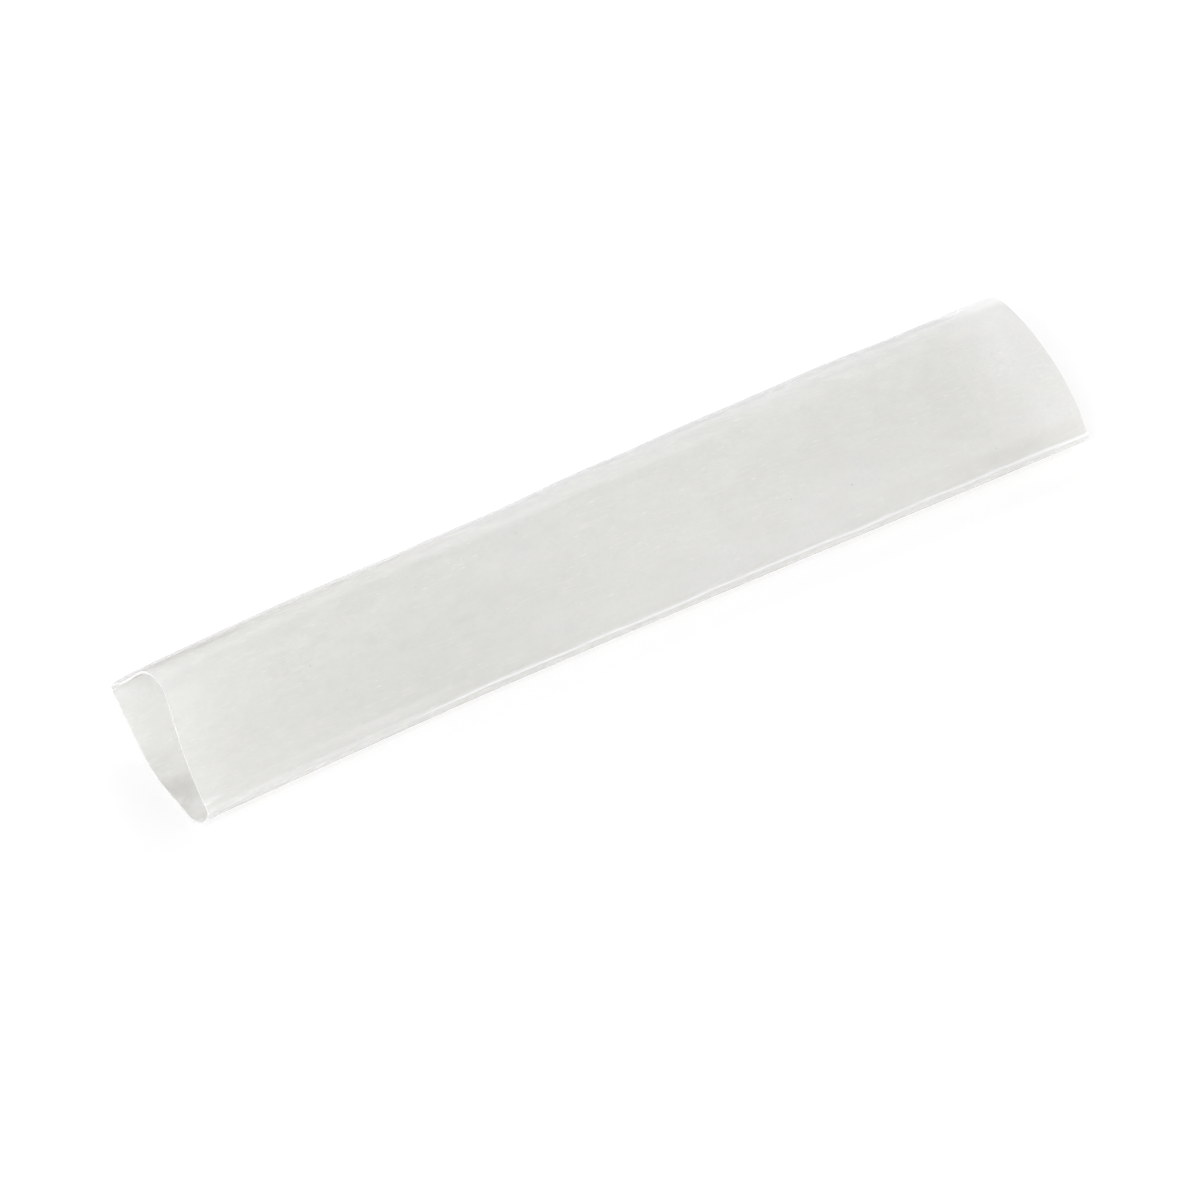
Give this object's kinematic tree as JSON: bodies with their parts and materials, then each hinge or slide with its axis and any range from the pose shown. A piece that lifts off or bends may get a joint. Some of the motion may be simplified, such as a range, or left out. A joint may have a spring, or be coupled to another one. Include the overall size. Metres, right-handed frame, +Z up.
{
  "type": "heat shrink tube",
  "caption": "Cut length of clear heat shrink tubing, creased flat along two sides and lying part open, to slip over a cable or joint and shrink in place.",
  "frame": {"origin": "on the surface that the tube lies on, under the middle of its bounding box", "axes": "+X runs along the tube from the wide open mouth to the flatter far end, -Y is the side of the front crease, +Z is up"},
  "size_m": [0.2, 0.04, 0.028],
  "materials": {
    "clear_polyolefin": "clear, slightly hazy polyolefin film with a soft gloss, faint scuffs along its length"
  },
  "bodies": {
    "root": {"heat_shrink_tube": "clear_polyolefin"}
  },
  "joints": []
}
